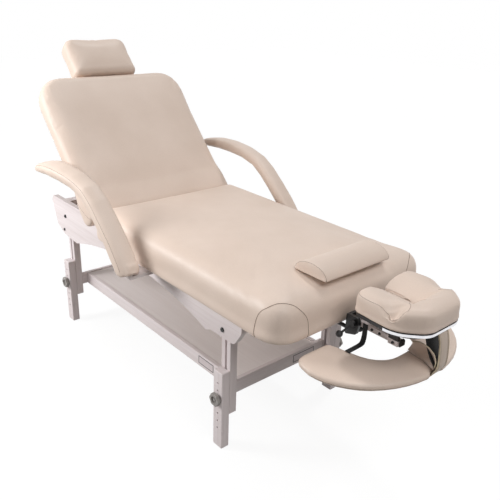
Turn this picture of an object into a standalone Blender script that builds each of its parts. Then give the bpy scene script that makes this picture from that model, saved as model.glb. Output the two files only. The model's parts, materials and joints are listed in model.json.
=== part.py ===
"""Massage table with a lifting back, padded arms, a face cradle and an arm sling."""

import math

import bmesh
import bpy
from mathutils import Matrix, Vector

# Driving dimensions, in metres. X runs towards the face cradle from the front of the front legs.
TABLE_WIDTH = 0.765
SEAT_TOP = 0.766
SEAT_FRONT = 0.334
SEAT_APRON = 0.161
RAIL_TOP = 0.650
LEG_SPACING = 1.25
LEG_DEPTH = 0.052
BASE_WIDTH = 0.645
EXTENSION_THICK = 0.036
EXTENSION_TOP = 0.333
POST_THICK = 0.033
POST_BOTTOM = 0.144
RAIL_THICK = 0.024
KNOB_HEIGHT = 0.2184
HOLE_PITCH = 0.0333
HOLE_COUNT = 7
SHELF_BOTTOM = 0.195
SHELF_DEPTH = 0.057
SHELF_HALF_WIDTH = 0.2275
BOARD = 0.020
DECK_THICK = 0.018
HINGE_SETBACK = 0.89
BACK_THICK = 0.115
BACK_LENGTH = 0.672
BACK_ANGLE = math.radians(48)
HEADREST_LENGTH = 0.212
HEADREST_WIDTH = 0.335
HEADREST_THICK = 0.113
ARM_CLEAR = 0.014
CRADLE_HALF_WIDTH = 0.152
CRADLE_LENGTH = 0.250
CRADLE_REACH = 0.313
CRADLE_GAP = 0.045
SLING_DEPTH = 0.245
SLING_HALF_WIDTH = 0.316

# Clearances
GAP = 0.0003
RUN = 0.0005
SWING = 0.0015

# Derived positions
HALF = TABLE_WIDTH / 2
POST_OUT = BASE_WIDTH / 2 - EXTENSION_THICK - GAP
POST_IN = POST_OUT - POST_THICK
RAIL_IN = POST_OUT + GAP
RAIL_OUT = RAIL_IN + RAIL_THICK
REAR_X = -LEG_SPACING
HINGE_X = -HINGE_SETBACK
BACK_HALF = BACK_THICK / 2
HINGE_Z = RAIL_TOP + SWING + BACK_HALF
SEAT_REAR = HINGE_X + BACK_HALF + 0.002
SEAT_BOTTOM = SEAT_TOP - SEAT_APRON
DECK_TOP = RAIL_TOP + GAP + DECK_THICK
RAIL_LOW = RAIL_TOP - 0.186
RAIL_CROWN = RAIL_TOP - 0.105
STUD_RADIUS = 0.004
SHELF_TOP = SHELF_BOTTOM + SHELF_DEPTH
DECK_HALF = RAIL_OUT + 0.002
BACK_DECK_HALF = HALF - 0.045
LEAF_THICK = 0.005
PROP_PIVOT_X = -0.15
PROP_PIVOT_Z = -BACK_HALF - 0.0085
PROP_LENGTH = 0.185
PROP_ROD = 0.006
LUG_Y = 0.200
ROD_Y = 0.09
ROD_Z = -0.012
ROD_RADIUS = 0.006
ARM_IN = HALF + ARM_CLEAR
TILT_X = SEAT_FRONT + 0.038
TILT_Z = SEAT_TOP - 0.138
BAR_Y = 0.058
PEG_Z = SEAT_BOTTOM - 0.017
PLATFORM_Z = TILT_Z + 0.0675
PLATFORM_THICK = 0.011
CRADLE_X = SEAT_FRONT + CRADLE_REACH - CRADLE_LENGTH
SLING_TOP = TILT_Z - 0.0655
SLING_THICK = 0.030
SLING_X = SEAT_FRONT + 0.066


def clear_scene():
    for item in list(bpy.data.objects):
        bpy.data.objects.remove(item)


clear_scene()
PARTS = bpy.data.collections.new("massage_table")
CUTTERS = bpy.data.collections.new("cutters")
bpy.context.scene.collection.children.link(PARTS)
bpy.context.scene.collection.children.link(CUTTERS)


def material(name, colour, rough, metal=0.0):
    made = bpy.data.materials.new(name)
    made.use_nodes = True
    shader = made.node_tree.nodes["Principled BSDF"]
    shader.inputs["Base Color"].default_value = (*colour, 1.0)
    shader.inputs["Roughness"].default_value = rough
    shader.inputs["Metallic"].default_value = metal
    return made


VINYL = material("cream_vinyl", (0.73, 0.61, 0.51), 0.45)
WOOD = material("whitewashed_wood", (0.83, 0.75, 0.77), 0.5)
PLY = material("plywood", (0.62, 0.47, 0.31), 0.6)
STEEL = material("steel", (0.55, 0.55, 0.56), 0.35, 1.0)
CHROME = material("bright_trim", (0.80, 0.80, 0.82), 0.12, 1.0)
BLACK = material("black_plastic", (0.02, 0.02, 0.022), 0.45)
KNOB = material("grey_knob", (0.36, 0.35, 0.36), 0.4)
WEBBING = material("black_webbing", (0.03, 0.03, 0.03), 0.8)


# Bodies: one empty on each joint axis
def axis_empty(name, place, parent=None, turn=0.0):
    empty = bpy.data.objects.new(name, None)
    PARTS.objects.link(empty)
    empty.location = place
    empty.rotation_euler = (0.0, turn, 0.0)
    empty.parent = parent
    bpy.context.view_layer.update()
    return empty


def attach(item, body, local):
    item.parent = body
    if body is not None and not local:
        item.matrix_parent_inverse = body.matrix_world.inverted()
    return item


def part(name, mesh, look, body, local=False, bevel=0.0, segments=2):
    item = bpy.data.objects.new(name, mesh)
    PARTS.objects.link(item)
    mesh.materials.clear()
    mesh.materials.append(look)
    if bevel:
        edge = item.modifiers.new("edges", "BEVEL")
        edge.width = bevel
        edge.segments = segments
        edge.limit_method = "ANGLE"
    return attach(item, body, local)


def combine(item, mesh, operation):
    tool = bpy.data.objects.new(item.name + "_" + operation.lower(), mesh)
    CUTTERS.objects.link(tool)
    tool.hide_render = True
    tool.display_type = "WIRE"
    tool.parent = item.parent
    tool.matrix_parent_inverse = item.matrix_parent_inverse.copy()
    change = item.modifiers.new(operation.lower(), "BOOLEAN")
    change.operation = operation
    change.solver = "EXACT"
    change.object = tool
    return item


def cut(item, mesh):
    return combine(item, mesh, "DIFFERENCE")


def fuse(item, mesh):
    return combine(item, mesh, "UNION")


# Solids
def to_mesh(name, form):
    mesh = bpy.data.meshes.new(name)
    form.to_mesh(mesh)
    form.free()
    return mesh


def add_box(form, low, high):
    low = Vector(low)
    high = Vector(high)
    size = Matrix.Diagonal((*(high - low), 1.0))
    bmesh.ops.create_cube(form, size=1.0, matrix=Matrix.Translation((low + high) / 2) @ size)


def boxes(*spans):
    form = bmesh.new()
    for low, high in spans:
        add_box(form, low, high)
    return to_mesh("box", form)


def side_box(side, low, high):
    """A box whose Y span is given outwards from the centreline."""
    ends = sorted((side * low[1], side * high[1]))
    return boxes(((low[0], ends[0], low[2]), (high[0], ends[1], high[2])))


def add_rod(form, start, end, radius, sides=16):
    start = Vector(start)
    end = Vector(end)
    along = end - start
    turn = along.to_track_quat("Z", "Y").to_matrix().to_4x4()
    place = Matrix.Translation((start + end) / 2) @ turn
    bmesh.ops.create_cone(
        form, cap_ends=True, segments=sides, radius1=radius, radius2=radius, depth=along.length, matrix=place
    )


def rods(*runs, sides=16):
    form = bmesh.new()
    for start, end, radius in runs:
        add_rod(form, start, end, radius, sides)
    return to_mesh("rod", form)


def ball(centre, radius):
    form = bmesh.new()
    place = Matrix.Translation(centre)
    bmesh.ops.create_uvsphere(form, u_segments=16, v_segments=8, radius=radius, matrix=place)
    return to_mesh("ball", form)


def rounded(corners, steps=5):
    """A closed outline from corners (x, y, radius)."""
    points = []
    count = len(corners)
    for index, (x, y, radius) in enumerate(corners):
        here = Vector((x, y))
        before = (Vector(corners[index - 1][:2]) - here).normalized()
        after = (Vector(corners[(index + 1) % count][:2]) - here).normalized()
        if radius <= 0.0:
            points.append(here)
            continue
        half = before.angle(after) / 2
        reach = radius / math.tan(half)
        centre = here + (before + after).normalized() * (radius / math.sin(half))
        first = here + before * reach - centre
        last = here + after * reach - centre
        sweep = first.angle_signed(last)
        for step in range(steps + 1):
            points.append(centre + Matrix.Rotation(-sweep * step / steps, 2) @ first)
    return points


def arch(start, end, rise, steps):
    """Points between two ends on a circular arch, without the ends."""
    span = (end[0] - start[0]) / 2
    radius = (span * span + rise * rise) / (2 * rise)
    middle = (start[0] + end[0]) / 2
    low = start[1] + rise - radius
    points = []
    for step in range(1, steps):
        x = start[0] + (end[0] - start[0]) * step / steps
        points.append((x, low + math.sqrt(radius * radius - (x - middle) ** 2), 0.0))
    return points


def plate(outlines, thick, place, upright=True, soft=0.0, soft_steps=3):
    """A flat piece cut to one or more outlines; upright ones lie in XZ, the others in XY."""
    curve = bpy.data.curves.new("outline", "CURVE")
    curve.dimensions = "2D"
    curve.fill_mode = "BOTH"
    curve.extrude = thick / 2 - soft
    curve.bevel_depth = soft
    curve.bevel_resolution = soft_steps
    curve.offset = -soft
    curve.resolution_u = 1
    curve.render_resolution_u = 0
    for outline in outlines:
        spline = curve.splines.new("POLY")
        spline.points.add(len(outline) - 1)
        spline.use_cyclic_u = True
        for point, corner in zip(spline.points, outline):
            point.co = (corner[0], corner[1], 0.0, 1.0)
    drawn = bpy.data.objects.new("outline", curve)
    CUTTERS.objects.link(drawn)
    graph = bpy.context.evaluated_depsgraph_get()
    mesh = bpy.data.meshes.new_from_object(drawn.evaluated_get(graph))
    bpy.data.objects.remove(drawn)
    form = bmesh.new()
    form.from_mesh(mesh)
    bmesh.ops.remove_doubles(form, verts=form.verts, dist=1e-5)
    bmesh.ops.recalc_face_normals(form, faces=form.faces)
    if upright:
        bmesh.ops.transform(form, matrix=Matrix.Rotation(math.pi / 2, 4, "X"), verts=form.verts)
    bmesh.ops.translate(form, vec=place, verts=form.verts)
    form.to_mesh(mesh)
    form.free()
    return mesh


def loft(rings):
    """A closed skin through rings that have the same number of points."""
    form = bmesh.new()
    rows = [[form.verts.new(point) for point in ring] for ring in rings]
    for lower, upper in zip(rows, rows[1:]):
        for index in range(len(lower)):
            follow = (index + 1) % len(lower)
            form.faces.new((lower[index], lower[follow], upper[follow], upper[index]))
    form.faces.new(list(reversed(rows[0])))
    form.faces.new(rows[-1])
    bmesh.ops.recalc_face_normals(form, faces=form.faces)
    return to_mesh("loft", form)


def pad_ring(x0, x1, half_y, z, inset, corners, draw):
    """One level of a cushion: a rounded rectangle whose sides are drawn in at mid length."""
    low = x0 + inset
    high = x1 - inset
    wide = half_y - inset
    back = max(corners[0] - inset, 0.004)
    front = max(corners[1] - inset, 0.004)
    centres = (
        (high - front, wide - front, front, 0),
        (low + back, wide - back, back, 1),
        (low + back, back - wide, back, 2),
        (high - front, front - wide, front, 3),
    )
    flat = []
    for index, (x, y, radius, quarter) in enumerate(centres):
        for step in range(5):
            angle = math.pi / 2 * (quarter + step / 4)
            flat.append(Vector((x + radius * math.cos(angle), y + radius * math.sin(angle))))
        ahead = centres[(index + 1) % 4]
        start = flat[-1]
        angle = math.pi / 2 * ahead[3]
        end = Vector((ahead[0] + ahead[2] * math.cos(angle), ahead[1] + ahead[2] * math.sin(angle)))
        between = 6 if index % 2 == 0 else 4
        for step in range(1, between + 1):
            flat.append(start.lerp(end, step / (between + 1)))
    middle = (low + high) / 2
    pull = draw * max(0.0, 1 - inset / half_y)
    ring = []
    for point in flat:
        along = (point.x - middle) / ((high - low) / 2)
        across = point.y / wide
        shift_x = pull * along * max(0.0, 1 - across * across)
        shift_y = pull * across * max(0.0, 1 - along * along)
        ring.append((point.x - shift_x, point.y - shift_y, z))
    return ring


def pad(x0, x1, half_y, z0, z1, corners, top_round, bottom_round, crown, draw):
    """A cushion with a crowned top, rounded edges and drawn-in sides."""
    edge = z1 - crown
    levels = []
    for step in range(4):
        angle = math.pi / 2 * step / 3
        levels.append((bottom_round * (1 - math.sin(angle)), z0 + bottom_round * (1 - math.cos(angle))))
    levels.append((0.0, (z0 + bottom_round + edge - top_round) / 2))
    for step in range(6):
        angle = math.pi / 2 * step / 5
        levels.append((top_round * (1 - math.cos(angle)), edge - top_round * (1 - math.sin(angle))))
    inner = min(half_y, (x1 - x0) / 2) * 0.86
    for step in range(1, 5):
        part_way = step / 4
        levels.append((top_round + (inner - top_round) * part_way, edge + crown * (1 - (1 - part_way) ** 2)))
    return loft([pad_ring(x0, x1, half_y, z, inset, corners, draw) for inset, z in levels])


def along_path(path, ring_of):
    """Rings across a path in the XZ plane; ring_of gives (across, out) pairs for each point."""
    rings = []
    for index, (x, z) in enumerate(path):
        ahead = Vector(path[min(index + 1, len(path) - 1)])
        behind = Vector(path[max(index - 1, 0)])
        run = (ahead - behind).normalized()
        normal = Vector((-run.y, run.x))
        rings.append([(x + normal.x * v, u, z + normal.y * v) for u, v in ring_of(index)])
    return rings


def strip(path, thick):
    """Outline of a band of even thickness along a path in the XZ plane."""
    near = []
    far = []
    for index, point in enumerate(path):
        ahead = Vector(path[min(index + 1, len(path) - 1)])
        behind = Vector(path[max(index - 1, 0)])
        run = (ahead - behind).normalized()
        normal = Vector((-run.y, run.x)) * (thick / 2)
        near.append(Vector(point) + normal)
        far.append(Vector(point) - normal)
    return near + far[::-1]


SIDES = (("left", -1), ("right", 1))
root = axis_empty("massage_table_origin", (0.0, 0.0, 0.0))


# Base: rails, posts, leg extensions and knobs
def rail_outline():
    low_rear = (REAR_X + 0.092, RAIL_LOW)
    low_front = (-0.115, RAIL_LOW)
    corners = [
        (REAR_X - 0.138, RAIL_TOP, 0.012),
        (REAR_X - 0.150, RAIL_TOP - 0.028, 0.014),
        (REAR_X - 0.107, RAIL_TOP - 0.142, 0.030),
        (REAR_X - 0.035, RAIL_LOW + 0.011, 0.050),
        (*low_rear, 0.0),
    ]
    corners += arch(low_rear, low_front, RAIL_CROWN - RAIL_LOW, 14)
    corners += [
        (*low_front, 0.0),
        (-0.088, RAIL_LOW + 0.012, 0.006),
        (0.046, RAIL_LOW + 0.012, 0.025),
        (0.085, RAIL_TOP - 0.115, 0.030),
        (0.085, RAIL_TOP, 0.004),
    ]
    return rounded(corners, 4)


ARM_END_X = HINGE_X + 0.470
BRACKET_Z = SEAT_BOTTOM - 0.014
PEGS = ((ARM_END_X - 0.055, BRACKET_Z), (ARM_END_X - 0.010, BRACKET_Z))
PEG_RADIUS = 0.005

for word, side in SIDES:
    middle = side * (RAIL_IN + RAIL_OUT) / 2
    rail = part("side_rail_" + word, plate([rail_outline()], RAIL_THICK, (0, middle, 0)), WOOD, root)
    near = side * (RAIL_IN - 0.01)
    far = side * (RAIL_OUT + 0.01)
    cut(rail, rods(*[((x, near, z), (x, far, z), PEG_RADIUS + RUN) for x, z in PEGS], sides=12))


def leg(end, front_x, word, side):
    tag = end + "_" + word
    low_x = front_x - LEG_DEPTH
    mid_x = front_x - LEG_DEPTH / 2
    post = part(
        "leg_post_" + tag,
        side_box(side, (low_x, POST_IN, POST_BOTTOM), (front_x, POST_OUT, RAIL_TOP - GAP)),
        WOOD,
        root,
        bevel=0.0025,
    )
    slot_low = (mid_x - 0.0055, POST_IN - 0.01, KNOB_HEIGHT - 0.048)
    slot_high = (mid_x + 0.0055, POST_OUT + 0.01, 0.46)
    cut(post, side_box(side, slot_low, slot_high))
    body = axis_empty("leg_slide_" + tag, (mid_x, side * BASE_WIDTH / 2, KNOB_HEIGHT), root)
    extension = part(
        "leg_extension_" + tag,
        side_box(side, (low_x, POST_OUT + GAP, 0.0), (front_x, BASE_WIDTH / 2, EXTENSION_TOP)),
        WOOD,
        body,
        bevel=0.003,
    )
    top_hole = KNOB_HEIGHT + 2 * HOLE_PITCH
    levels = [top_hole - HOLE_PITCH * step for step in range(HOLE_COUNT)]
    inner = side * (POST_OUT - 0.01)
    outer = side * (BASE_WIDTH / 2 + 0.01)
    holes = [((mid_x, inner, z), (mid_x, outer, z), STUD_RADIUS + RUN) for z in levels]
    cut(extension, rods(*holes, sides=12))
    knob_body = axis_empty("knob_turn_" + tag, (mid_x, side * BASE_WIDTH / 2, KNOB_HEIGHT), body)
    lobes = []
    for step in range(36):
        angle = 2 * math.pi * step / 36
        reach = 0.0255 + 0.0015 * math.cos(6 * angle)
        lobes.append((mid_x + reach * math.cos(angle), KNOB_HEIGHT + reach * math.sin(angle)))
    face = BASE_WIDTH / 2 + GAP
    grip = plate([lobes], 0.014, (0, side * (face + 0.012), 0), soft=0.002, soft_steps=1)
    knob = part("clamp_knob_" + tag, grip, KNOB, knob_body)

    def turned(start, end, radius, sides):
        run = ((mid_x, side * start, KNOB_HEIGHT), (mid_x, side * end, KNOB_HEIGHT), radius)
        return rods(run, sides=sides)

    fuse(knob, turned(face, face + 0.008, 0.012, 20))
    fuse(knob, turned(POST_IN + 0.003, face + 0.004, STUD_RADIUS, 12))
    cut(knob, turned(face + 0.013, face + 0.03, 0.0145, 24))
    fuse(knob, turned(face + 0.010, face + 0.0165, 0.006, 6))


for word, side in SIDES:
    leg("front", 0.0, word, side)
    leg("rear", REAR_X, word, side)

# Shelf between the legs
SHELF_FRONT = -0.035
for word, side in SIDES:
    low = (REAR_X + GAP, SHELF_HALF_WIDTH - BOARD, SHELF_BOTTOM)
    high = (SHELF_FRONT - BOARD - GAP, SHELF_HALF_WIDTH, SHELF_TOP)
    part("shelf_rail_" + word, side_box(side, low, high), WOOD, root, bevel=0.002)
for word, front in (("front", SHELF_FRONT), ("rear", REAR_X)):
    span = POST_IN - GAP
    mesh = boxes(((front - BOARD, -span, SHELF_BOTTOM), (front, span, SHELF_TOP)))
    part("shelf_end_rail_" + word, mesh, WOOD, root, bevel=0.002)
inside = SHELF_HALF_WIDTH - BOARD - GAP
low = (REAR_X + GAP, -inside, SHELF_TOP - 0.016)
high = (SHELF_FRONT - BOARD - GAP, inside, SHELF_TOP - 0.004)
part("shelf_panel", boxes((low, high)), WOOD, root)

# Cross beams
span = RAIL_IN - GAP
mesh = boxes(((0.040, -span, RAIL_TOP - 0.10), (0.080, span, RAIL_TOP - GAP)))
part("front_beam", mesh, WOOD, root, bevel=0.002)
span = POST_IN - GAP
mesh = boxes(((REAR_X - LEG_DEPTH, -span, RAIL_TOP - 0.10), (REAR_X - 0.002, span, RAIL_TOP - GAP)))
part("tail_beam", mesh, WOOD, root, bevel=0.002)

# Seat: deck and cushion
DECK_FRONT = SEAT_FRONT - 0.064
DECK_REAR = SEAT_REAR + 0.015
mesh = boxes(((DECK_REAR, -DECK_HALF, RAIL_TOP + GAP), (DECK_FRONT, DECK_HALF, DECK_TOP)))
part("seat_deck", mesh, PLY, root)
mesh = pad(SEAT_REAR, SEAT_FRONT, HALF, SEAT_BOTTOM, SEAT_TOP, (0.045, 0.090), 0.070, 0.018, 0.010, 0.004)
seat = part("seat_cushion", mesh, VINYL, root)
pocket_low = (DECK_REAR - GAP, -DECK_HALF - GAP, SEAT_BOTTOM - 0.05)
pocket_high = (DECK_FRONT + GAP, DECK_HALF + GAP, DECK_TOP + GAP)
rear_way_low = (SEAT_REAR - 0.05, -DECK_HALF - GAP, SEAT_BOTTOM - 0.05)
rear_way_high = (DECK_REAR + 0.01, DECK_HALF + GAP, RAIL_TOP + 0.004)
cut(seat, boxes((pocket_low, pocket_high)))
cut(seat, boxes((rear_way_low, rear_way_high)))

# Lifting back, built flat about its hinge and tipped by its body
back = axis_empty("back_hinge", (HINGE_X, 0.0, HINGE_Z), root, BACK_ANGLE)
BACK_DECK_LOW = -BACK_HALF + 0.001
BACK_DECK_TOP = BACK_DECK_LOW + DECK_THICK
BACK_DECK_REAR = -BACK_LENGTH + 0.030
BACK_DECK_FRONT = -0.045
low = (BACK_DECK_REAR, -BACK_DECK_HALF, BACK_DECK_LOW)
high = (BACK_DECK_FRONT, BACK_DECK_HALF, BACK_DECK_TOP)
part("back_deck", boxes((low, high)), PLY, back, local=True)
end = BACK_HALF + 0.01
mesh = pad(-BACK_LENGTH, end, HALF, -BACK_HALF, BACK_HALF, (0.120, 0.020), 0.050, 0.030, 0.006, 0.004)
cushion = part("back_cushion", mesh, VINYL, back, local=True)
outside = [(0.0, -0.2), (0.2, -0.2), (0.2, 0.2), (0.0, 0.2), (0.0, BACK_HALF)]
for step in range(1, 16):
    angle = math.pi / 2 - math.pi * step / 16
    outside.append((BACK_HALF * math.cos(angle), BACK_HALF * math.sin(angle)))
outside.append((0.0, -BACK_HALF))
cut(cushion, plate([outside], TABLE_WIDTH + 0.2, (0, 0, 0)))
pocket_low = (low[0] - GAP, low[1] - GAP, -BACK_HALF - 0.05)
pocket_high = (high[0] + GAP, high[1] + GAP, BACK_DECK_TOP + GAP)
cut(cushion, boxes((pocket_low, pocket_high)))
LEAF_OUT = RAIL_IN - GAP
BACK_LEAF_OUT = LEAF_OUT - LEAF_THICK - RUN
slots = []
for word, side in SIDES:
    ends = sorted((side * (BACK_LEAF_OUT - LEAF_THICK - 0.0015), side * (LEAF_OUT + 0.0015)))
    slots.append(((-0.13, ends[0], -BACK_HALF - 0.02), (BACK_HALF + 0.03, ends[1], 0.024)))
cut(cushion, boxes(*slots))
bores = [((-BACK_LENGTH - 0.02, y, ROD_Z), (-0.455, y, ROD_Z), ROD_RADIUS + RUN) for y in (-ROD_Y, ROD_Y)]
cut(cushion, rods(*bores, sides=12))

# Hinge leaves on the rails and on the back
EYE = 0.017
PIN = 0.005
for word, side in SIDES:
    base = [
        (HINGE_X - 0.040, RAIL_TOP - 0.085, 0.006),
        (HINGE_X + 0.040, RAIL_TOP - 0.085, 0.006),
        (HINGE_X + 0.040, RAIL_TOP - 0.006, 0.010),
        (HINGE_X + EYE, HINGE_Z - 0.010, 0.0),
        (HINGE_X + EYE, HINGE_Z + EYE, EYE * 0.98),
        (HINGE_X - EYE, HINGE_Z + EYE, EYE * 0.98),
        (HINGE_X - EYE, HINGE_Z - 0.010, 0.0),
        (HINGE_X - 0.040, RAIL_TOP - 0.006, 0.010),
    ]
    middle = side * (LEAF_OUT - LEAF_THICK / 2)
    mesh = plate([rounded(base, 6)], LEAF_THICK, (0, middle, 0))
    leaf = part("frame_hinge_leaf_" + word, mesh, STEEL, root)
    near = (HINGE_X, side * (LEAF_OUT - 0.02), HINGE_Z)
    far = (HINGE_X, side * (LEAF_OUT + 0.02), HINGE_Z)
    cut(leaf, rods((near, far, PIN + RUN), sides=20))
    arm = [
        (-0.122, BACK_DECK_TOP + GAP, 0.0),
        (-0.050, BACK_DECK_TOP + GAP, 0.0),
        (0.0, -EYE, 0.0),
        (EYE, -EYE, EYE * 0.98),
        (EYE, EYE, EYE * 0.98),
        (-EYE, EYE, EYE * 0.90),
        (-0.122, BACK_DECK_TOP + 0.020, 0.004),
    ]
    middle = side * (BACK_LEAF_OUT - LEAF_THICK / 2)
    mesh = plate([rounded(arm, 6)], LEAF_THICK, (0, middle, 0))
    leaf = part("back_hinge_leaf_" + word, mesh, STEEL, back, True)
    pin = ((0.0, side * (BACK_LEAF_OUT - 0.002), 0.0), (0.0, side * (LEAF_OUT - GAP), 0.0), PIN)
    fuse(leaf, rods(pin, sides=20))
    lug = [
        (PROP_PIVOT_X - 0.024, BACK_DECK_LOW - GAP, 0.0),
        (PROP_PIVOT_X + 0.024, BACK_DECK_LOW - GAP, 0.0),
        (PROP_PIVOT_X + 0.010, PROP_PIVOT_Z - 0.011, 0.008),
        (PROP_PIVOT_X - 0.010, PROP_PIVOT_Z - 0.011, 0.008),
    ]
    mesh = plate([rounded(lug)], 0.008, (0, side * LUG_Y, 0))
    lug_part = part("prop_bracket_" + word, mesh, STEEL, back, True)
    near = (PROP_PIVOT_X, side * (LUG_Y - 0.02), PROP_PIVOT_Z)
    far = (PROP_PIVOT_X, side * (LUG_Y + 0.02), PROP_PIVOT_Z)
    cut(lug_part, rods((near, far, 0.004 + RUN), sides=16))

# Prop frame that carries the back, and its notched racks on the rails
prop_body = axis_empty("prop_pivot", (PROP_PIVOT_X, 0.0, PROP_PIVOT_Z), back, -2 * BACK_ANGLE)
foot_half = RAIL_IN - 0.006
mesh = rods(((-PROP_LENGTH, -foot_half, 0), (-PROP_LENGTH, foot_half, 0), PROP_ROD))
prop = part("back_prop", mesh, STEEL, prop_body, True)
for word, side in SIDES:
    near = LUG_Y + 0.004 + 0.004
    fuse(prop, side_box(side, (-PROP_LENGTH, near, -0.0055), (0.006, near + 0.006, 0.0055)))
    fuse(prop, rods(((0, side * (LUG_Y - 0.008), 0), (0, side * (near + 0.003), 0), 0.004)))
    teeth = [(HINGE_X - 0.160, RAIL_TOP - 0.070)]
    for step in range(7):
        x = HINGE_X - 0.160 - 0.028 * step
        teeth.append((x, RAIL_TOP - 0.0245))
        teeth.append((x - 0.020, RAIL_TOP - 0.0245))
        teeth.append((x - 0.024, RAIL_TOP - 0.0345))
    teeth.append((HINGE_X - 0.360, RAIL_TOP - 0.0345))
    teeth.append((HINGE_X - 0.360, RAIL_TOP - 0.070))
    place = (0, side * (RAIL_IN - GAP - 0.015), 0)
    part("prop_rack_" + word, plate([teeth], 0.030, place), WOOD, root)

# Headrest on two rods that slide in the back
slide_x = -BACK_LENGTH
head = axis_empty("headrest_slide", (slide_x, 0.0, ROD_Z), back)
head_rear = -BACK_LENGTH - 0.003 - HEADREST_LENGTH
head_front = head_rear + HEADREST_LENGTH
head_half = HEADREST_WIDTH / 2
head_top = BACK_HALF - 0.0075
head_low = head_top - HEADREST_THICK
corners = (0.05, 0.03)
mesh = pad(head_rear, head_front, head_half, head_low, head_top, corners, 0.040, 0.030, 0.006, 0.003)
head_pad = part("headrest_cushion", mesh, VINYL, head, local=True)
head_pad.location = (BACK_LENGTH, 0.0, -ROD_Z)
rod_end = -BACK_LENGTH - 0.10
bores = []
for y in (-ROD_Y, ROD_Y):
    bores.append(((-BACK_LENGTH + 0.02, y, ROD_Z), (rod_end - GAP, y, ROD_Z), ROD_RADIUS + GAP))
tool = cut(head_pad, rods(*bores, sides=12)).modifiers[-1].object
tool.location = head_pad.location
for word, side in SIDES:
    mesh = rods(((-0.460, side * ROD_Y, ROD_Z), (rod_end, side * ROD_Y, ROD_Z), ROD_RADIUS), sides=12)
    part("headrest_rod_" + word, mesh, STEEL, head, local=True).location = (BACK_LENGTH, 0.0, -ROD_Z)

# Padded arms and the covered brackets that peg them to the side rails
ARM_TOP = SEAT_TOP + 0.158
ARM_PATH = (
    (HINGE_X - 0.260, ARM_TOP - 0.049),
    (HINGE_X - 0.245, ARM_TOP - 0.039),
    (HINGE_X - 0.210, ARM_TOP - 0.020),
    (HINGE_X - 0.120, ARM_TOP - 0.003),
    (HINGE_X - 0.010, ARM_TOP),
    (HINGE_X + 0.100, ARM_TOP - 0.008),
    (HINGE_X + 0.200, ARM_TOP - 0.032),
    (HINGE_X + 0.270, ARM_TOP - 0.073),
    (HINGE_X + 0.340, ARM_TOP - 0.130),
    (HINGE_X + 0.400, ARM_TOP - 0.184),
    (HINGE_X + 0.450, ARM_TOP - 0.238),
    (HINGE_X + 0.486, ARM_TOP - 0.288),
    (HINGE_X + 0.497, ARM_TOP - 0.308),
)
ARM_DEEP = (0.35, 0.55, 0.72, 0.84, 0.88, 0.90, 0.94, 1.0, 1.04, 1.06, 1.06, 0.98, 0.72)
ARM_WIDE = (0.55, 0.80, 0.94, 1.0, 1.0, 1.0, 1.0, 1.0, 1.0, 1.0, 1.0, 0.96, 0.80)
ARM_SECTION = (
    (0.0, -0.030),
    (0.003, -0.012),
    (0.011, -0.003),
    (0.024, 0.0),
    (0.058, -0.001),
    (0.087, -0.007),
    (0.104, -0.021),
    (0.109, -0.042),
    (0.104, -0.061),
    (0.089, -0.069),
    (0.055, -0.067),
    (0.020, -0.060),
    (0.004, -0.049),
)


def arm_ring(side, index):
    deep = ARM_DEEP[index]
    wide = ARM_WIDE[index]
    return [(side * (ARM_IN + 0.054 + (u - 0.054) * wide), v * deep) for u, v in ARM_SECTION]


for word, side in SIDES:
    arm_body = axis_empty("arm_pull_" + word, (ARM_END_X, side * RAIL_OUT, BRACKET_Z), root)
    mesh = loft(along_path(ARM_PATH, lambda index: arm_ring(side, index)))
    pad_part = part("arm_pad_" + word, mesh, VINYL, arm_body)
    low = (ARM_END_X - 0.070, RAIL_OUT + GAP, BRACKET_Z - 0.006)
    high = (ARM_END_X + 0.004, ARM_IN + 0.046, BRACKET_Z + 0.006)
    bracket = part("arm_bracket_" + word, side_box(side, low, high), STEEL, arm_body)
    upright_low = (low[0], ARM_IN + 0.034, low[2])
    upright_high = (high[0], high[1], ARM_TOP - 0.285)
    fuse(bracket, side_box(side, upright_low, upright_high))
    near = side * (RAIL_IN + 0.002)
    far = side * (RAIL_OUT + 0.010)
    fuse(bracket, rods(*[((x, near, z), (x, far, z), PEG_RADIUS) for x, z in PEGS], sides=12))
    slack = Vector((GAP, GAP, GAP))
    cut(pad_part, side_box(side, Vector((low[0], low[1], low[2])) - slack, Vector(high) + slack))
    cut(pad_part, side_box(side, Vector(upright_low) - slack, Vector(upright_high) + slack))

# Socket block under the seat for the face cradle's pegs
socket_low = 0.080 + GAP
mesh = boxes(((socket_low, -0.095, PEG_Z - 0.022), (DECK_FRONT, 0.095, RAIL_TOP)))
socket = part("cradle_socket", mesh, WOOD, root, bevel=0.002)
bores = []
for y in (-BAR_Y, BAR_Y):
    bores.append(((socket_low - 0.01, y, PEG_Z), (DECK_FRONT + 0.01, y, PEG_Z), 0.007 + RUN))
cut(socket, rods(*bores, sides=16))

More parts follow.
